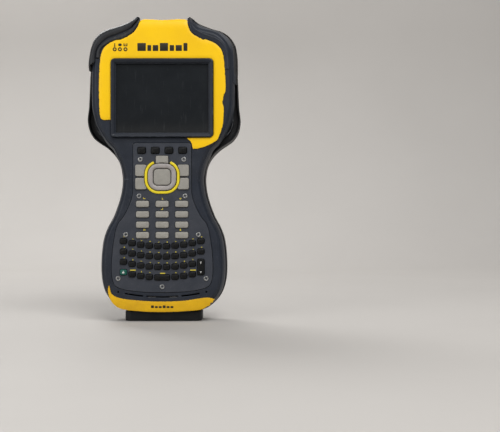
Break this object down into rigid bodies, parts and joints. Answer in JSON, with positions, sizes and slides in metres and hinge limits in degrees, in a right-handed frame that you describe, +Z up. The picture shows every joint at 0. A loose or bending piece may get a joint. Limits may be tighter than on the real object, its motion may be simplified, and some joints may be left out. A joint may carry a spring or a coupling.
{
  "type": "handheld data collector",
  "caption": "Rugged handheld data collector: hourglass case with a landscape touch screen over a keypad, corner guards, radio cap, battery door and hand strap.",
  "frame": {"origin": "on the surface that the foot stands on, under the middle of the overall width and thickness", "axes": "+Z up the length of the case, -Y out of the screen and keypad, +X to the right as the screen is read"},
  "size_m": [0.141, 0.064, 0.2769],
  "materials": {
    "slate_plastic": "moulded, fine grain",
    "black_plastic": "moulded, fine grain",
    "rubber": "moulded rubber, matt",
    "yellow_plastic": "moulded, fine grain",
    "glass": "smooth",
    "module": "plain sheet",
    "metal": "plated",
    "board": "moulded, fine grain",
    "plate": "moulded, fine grain",
    "fabric": "woven webbing",
    "dark_key": "moulded rubber, matt",
    "silver_key": "moulded, fine grain",
    "green_key": "moulded, fine grain"
  },
  "bodies": {
    "collector": {"front_housing": "slate_plastic", "screen_frame": "slate_plastic", "rear_housing": "black_plastic", "radio_cap": "black_plastic", "battery_pack": "black_plastic", "power_jack": "black_plastic", "corner_guard_left": "rubber", "corner_guard_right": "rubber", "housing_seal": "rubber", "port_foot": "rubber", "face_mask": "yellow_plastic", "lower_strip": "yellow_plastic", "pad_trim_ring": "yellow_plastic", "touch_glass": "glass", "camera": "glass", "lcd_module": "module", "speaker": "metal", "serial_port": "metal", "usb_port": "metal", "keypad_board": "board", "main_board": "board", "keypad_plate": "plate"},
    "battery_door": {"battery_door": "black_plastic"},
    "door_latch_left": {"door_latch_left": "metal"},
    "door_latch_right": {"door_latch_right": "metal"},
    "hand_strap": {"hand_strap": "fabric", "strap_hook": "black_plastic"},
    "stylus": {"stylus": "black_plastic"},
    "port_cover": {"port_cover": "rubber"},
    "nav_pivot": {"nav_pivot": "metal"},
    "nav_ring": {"nav_ring": "silver_key"},
    "select_key": {"select_key": "silver_key"},
    "application_key_1": {"application_key_1": "dark_key"},
    "application_key_2": {"application_key_2": "dark_key"},
    "application_key_3": {"application_key_3": "dark_key"},
    "application_key_4": {"application_key_4": "dark_key"},
    "ok_key": {"ok_key": "silver_key"},
    "side_key_left_upper": {"side_key_left_upper": "silver_key"},
    "side_key_left_lower": {"side_key_left_lower": "silver_key"},
    "side_key_right_upper": {"side_key_right_upper": "silver_key"},
    "side_key_right_lower": {"side_key_right_lower": "silver_key"},
    "number_key_1": {"number_key_1": "silver_key"},
    "number_key_2": {"number_key_2": "silver_key"},
    "number_key_3": {"number_key_3": "silver_key"},
    "number_key_4": {"number_key_4": "silver_key"},
    "number_key_5": {"number_key_5": "silver_key"},
    "number_key_6": {"number_key_6": "silver_key"},
    "number_key_7": {"number_key_7": "silver_key"},
    "number_key_8": {"number_key_8": "silver_key"},
    "number_key_9": {"number_key_9": "silver_key"},
    "number_key_10": {"number_key_10": "silver_key"},
    "number_key_11": {"number_key_11": "silver_key"},
    "number_key_12": {"number_key_12": "silver_key"},
    "letter_row_1": {"letter_row_1": "dark_key"},
    "letter_row_2": {"letter_row_2": "dark_key"},
    "letter_row_3": {"letter_row_3": "dark_key"},
    "letter_row_4": {"letter_row_4": "dark_key"},
    "enter_key": {"enter_key": "dark_key"},
    "space_key": {"space_key": "dark_key"},
    "power_key": {"power_key": "green_key"}
  },
  "joints": [
    {"name": "battery_door_lift", "type": "slide", "parent": "collector", "child": "battery_door", "axis": [0, 1, 0], "range_m": [0, 0.05]},
    {"name": "door_latch_left_turn", "type": "hinge", "parent": "battery_door", "child": "door_latch_left", "pos_m": [-0.03, 0.012, 0.076], "axis": [0, 1, 0], "range_deg": [0, 90]},
    {"name": "door_latch_right_turn", "type": "hinge", "parent": "battery_door", "child": "door_latch_right", "pos_m": [0.03, 0.012, 0.076], "axis": [0, 1, 0], "range_deg": [0, 90]},
    {"name": "hand_strap_swing", "type": "hinge", "parent": "battery_door", "child": "hand_strap", "pos_m": [0, 0.02, 0.027], "axis": [-1, 0, 0], "range_deg": [0, 110]},
    {"name": "stylus_draw", "type": "slide", "parent": "collector", "child": "stylus", "axis": [0, 0, -1], "range_m": [0, 0.1]},
    {"name": "port_cover_swing", "type": "hinge", "parent": "collector", "child": "port_cover", "pos_m": [0, 0.0028, 0.002], "axis": [1, 0, 0], "range_deg": [0, 90]},
    {"name": "nav_rock_up_down", "type": "hinge", "parent": "collector", "child": "nav_pivot", "pos_m": [0, -0.0246, 0.13053], "axis": [1, 0, 0], "range_deg": [-2.5, 2.5], "stiffness_Nm_per_rad": 0.05},
    {"name": "nav_rock_left_right", "type": "hinge", "parent": "nav_pivot", "child": "nav_ring", "pos_m": [0, -0.0246, 0.13053], "axis": [0, 0, 1], "range_deg": [-2.5, 2.5], "stiffness_Nm_per_rad": 0.05},
    {"name": "select_key_press", "type": "slide", "parent": "nav_ring", "child": "select_key", "axis": [0, 1, 0], "range_m": [0, 0.0008], "stiffness_N_per_m": 1500, "springref_m": -0.0001},
    {"name": "application_key_1_press", "type": "slide", "parent": "collector", "child": "application_key_1", "axis": [0, 1, 0], "range_m": [0, 0.0008], "stiffness_N_per_m": 1500, "springref_m": -0.0001},
    {"name": "application_key_2_press", "type": "slide", "parent": "collector", "child": "application_key_2", "axis": [0, 1, 0], "range_m": [0, 0.0008], "stiffness_N_per_m": 1500, "springref_m": -0.0001},
    {"name": "application_key_3_press", "type": "slide", "parent": "collector", "child": "application_key_3", "axis": [0, 1, 0], "range_m": [0, 0.0008], "stiffness_N_per_m": 1500, "springref_m": -0.0001},
    {"name": "application_key_4_press", "type": "slide", "parent": "collector", "child": "application_key_4", "axis": [0, 1, 0], "range_m": [0, 0.0008], "stiffness_N_per_m": 1500, "springref_m": -0.0001},
    {"name": "ok_key_press", "type": "slide", "parent": "collector", "child": "ok_key", "axis": [0, 1, 0], "range_m": [0, 0.0008], "stiffness_N_per_m": 1500, "springref_m": -0.0001},
    {"name": "side_key_left_upper_press", "type": "slide", "parent": "collector", "child": "side_key_left_upper", "axis": [0, 1, 0], "range_m": [0, 0.0008], "stiffness_N_per_m": 1500, "springref_m": -0.0001},
    {"name": "side_key_left_lower_press", "type": "slide", "parent": "collector", "child": "side_key_left_lower", "axis": [0, 1, 0], "range_m": [0, 0.0008], "stiffness_N_per_m": 1500, "springref_m": -0.0001},
    {"name": "side_key_right_upper_press", "type": "slide", "parent": "collector", "child": "side_key_right_upper", "axis": [0, 1, 0], "range_m": [0, 0.0008], "stiffness_N_per_m": 1500, "springref_m": -0.0001},
    {"name": "side_key_right_lower_press", "type": "slide", "parent": "collector", "child": "side_key_right_lower", "axis": [0, 1, 0], "range_m": [0, 0.0008], "stiffness_N_per_m": 1500, "springref_m": -0.0001},
    {"name": "number_key_1_press", "type": "slide", "parent": "collector", "child": "number_key_1", "axis": [0, 1, 0], "range_m": [0, 0.0008], "stiffness_N_per_m": 1500, "springref_m": -0.0001},
    {"name": "number_key_2_press", "type": "slide", "parent": "collector", "child": "number_key_2", "axis": [0, 1, 0], "range_m": [0, 0.0008], "stiffness_N_per_m": 1500, "springref_m": -0.0001},
    {"name": "number_key_3_press", "type": "slide", "parent": "collector", "child": "number_key_3", "axis": [0, 1, 0], "range_m": [0, 0.0008], "stiffness_N_per_m": 1500, "springref_m": -0.0001},
    {"name": "number_key_4_press", "type": "slide", "parent": "collector", "child": "number_key_4", "axis": [0, 1, 0], "range_m": [0, 0.0008], "stiffness_N_per_m": 1500, "springref_m": -0.0001},
    {"name": "number_key_5_press", "type": "slide", "parent": "collector", "child": "number_key_5", "axis": [0, 1, 0], "range_m": [0, 0.0008], "stiffness_N_per_m": 1500, "springref_m": -0.0001},
    {"name": "number_key_6_press", "type": "slide", "parent": "collector", "child": "number_key_6", "axis": [0, 1, 0], "range_m": [0, 0.0008], "stiffness_N_per_m": 1500, "springref_m": -0.0001},
    {"name": "number_key_7_press", "type": "slide", "parent": "collector", "child": "number_key_7", "axis": [0, 1, 0], "range_m": [0, 0.0008], "stiffness_N_per_m": 1500, "springref_m": -0.0001},
    {"name": "number_key_8_press", "type": "slide", "parent": "collector", "child": "number_key_8", "axis": [0, 1, 0], "range_m": [0, 0.0008], "stiffness_N_per_m": 1500, "springref_m": -0.0001},
    {"name": "number_key_9_press", "type": "slide", "parent": "collector", "child": "number_key_9", "axis": [0, 1, 0], "range_m": [0, 0.0008], "stiffness_N_per_m": 1500, "springref_m": -0.0001},
    {"name": "number_key_10_press", "type": "slide", "parent": "collector", "child": "number_key_10", "axis": [0, 1, 0], "range_m": [0, 0.0008], "stiffness_N_per_m": 1500, "springref_m": -0.0001},
    {"name": "number_key_11_press", "type": "slide", "parent": "collector", "child": "number_key_11", "axis": [0, 1, 0], "range_m": [0, 0.0008], "stiffness_N_per_m": 1500, "springref_m": -0.0001},
    {"name": "number_key_12_press", "type": "slide", "parent": "collector", "child": "number_key_12", "axis": [0, 1, 0], "range_m": [0, 0.0008], "stiffness_N_per_m": 1500, "springref_m": -0.0001},
    {"name": "letter_row_1_press", "type": "slide", "parent": "collector", "child": "letter_row_1", "axis": [0, 1, 0], "range_m": [0, 0.0008], "stiffness_N_per_m": 1500, "springref_m": -0.0001},
    {"name": "letter_row_2_press", "type": "slide", "parent": "collector", "child": "letter_row_2", "axis": [0, 1, 0], "range_m": [0, 0.0008], "stiffness_N_per_m": 1500, "springref_m": -0.0001},
    {"name": "letter_row_3_press", "type": "slide", "parent": "collector", "child": "letter_row_3", "axis": [0, 1, 0], "range_m": [0, 0.0008], "stiffness_N_per_m": 1500, "springref_m": -0.0001},
    {"name": "letter_row_4_press", "type": "slide", "parent": "collector", "child": "letter_row_4", "axis": [0, 1, 0], "range_m": [0, 0.0008], "stiffness_N_per_m": 1500, "springref_m": -0.0001},
    {"name": "enter_key_press", "type": "slide", "parent": "collector", "child": "enter_key", "axis": [0, 1, 0], "range_m": [0, 0.0008], "stiffness_N_per_m": 1500, "springref_m": -0.0001},
    {"name": "space_key_press", "type": "slide", "parent": "collector", "child": "space_key", "axis": [0, 1, 0], "range_m": [0, 0.0008], "stiffness_N_per_m": 1500, "springref_m": -0.0001},
    {"name": "power_key_press", "type": "slide", "parent": "collector", "child": "power_key", "axis": [0, 1, 0], "range_m": [0, 0.0008], "stiffness_N_per_m": 1500, "springref_m": -0.0001}
  ]
}
